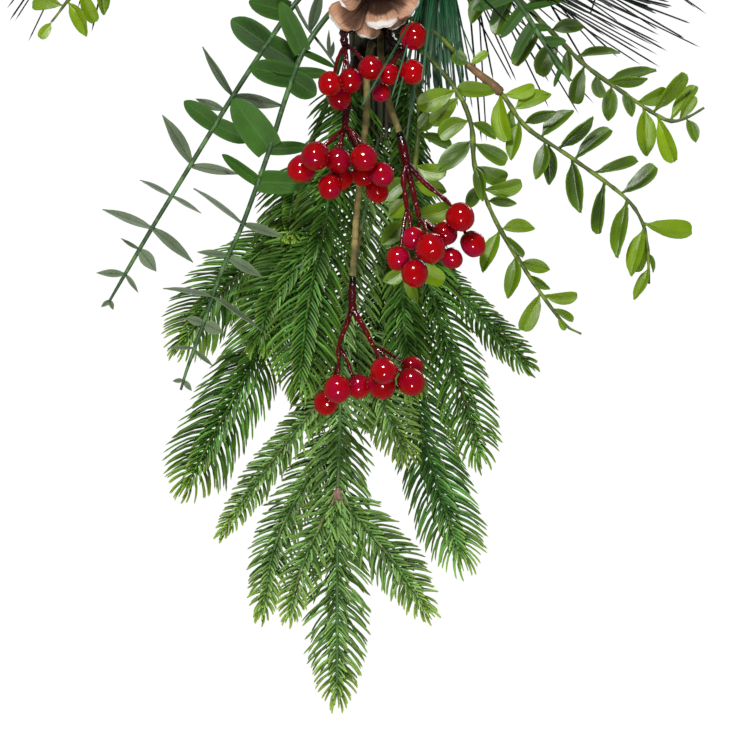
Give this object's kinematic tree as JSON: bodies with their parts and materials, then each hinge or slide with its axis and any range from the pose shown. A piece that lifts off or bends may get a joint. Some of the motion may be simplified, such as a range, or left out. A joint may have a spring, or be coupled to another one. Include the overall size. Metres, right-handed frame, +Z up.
{
  "type": "christmas door swag",
  "caption": "Artificial door swag: pine, eucalyptus and boxwood sprays with red berries and a pine cone wired to a taped trunk, hung by a wire loop.",
  "frame": {"origin": "where the hook bears, inside the top of the hanging loop", "axes": "+Z up along the trunk, +Y back towards the door, +X to the right for someone who faces the swag"},
  "size_m": [0.3966, 0.1341, 0.5804],
  "materials": {
    "floral_tape": "matte crepe tape",
    "coated_wire": "satin green coat",
    "cone_wood": "dry, with white snow on the tips",
    "pine": "satin",
    "blue_pine": "satin",
    "long_pine": "satin",
    "eucalyptus": "satin",
    "boxwood": "semi-gloss",
    "paper_tape": "matte paper tape",
    "berry_lacquer": "high gloss lacquer"
  },
  "bodies": {
    "root": {"trunk": "floral_tape", "hanging_loop": "coated_wire", "pine_cone": "cone_wood", "pine_centre": "pine", "pine_left": "pine", "pine_left_inner": "pine", "pine_right": "pine", "pine_right_low": "blue_pine", "pine_top": "pine", "pine_top_left": "pine", "pine_top_right": "blue_pine", "long_pine_left": "long_pine", "long_pine_right": "long_pine", "long_pine_centre": "long_pine", "eucalyptus_left_outer": "eucalyptus", "eucalyptus_left_inner": "eucalyptus", "eucalyptus_right": "eucalyptus", "eucalyptus_top": "eucalyptus", "boxwood_left_top": "boxwood", "boxwood_right_top": "boxwood", "boxwood_right_middle": "boxwood", "boxwood_right_low": "boxwood", "boxwood_centre": "boxwood", "berry_stem_right": "paper_tape", "berry_stem_low": "paper_tape", "berry_spray_upper_left": "berry_lacquer", "berry_spray_upper_right": "berry_lacquer", "berry_spray_left": "berry_lacquer", "berry_spray_right": "berry_lacquer", "berry_spray_low": "berry_lacquer"}
  },
  "joints": []
}
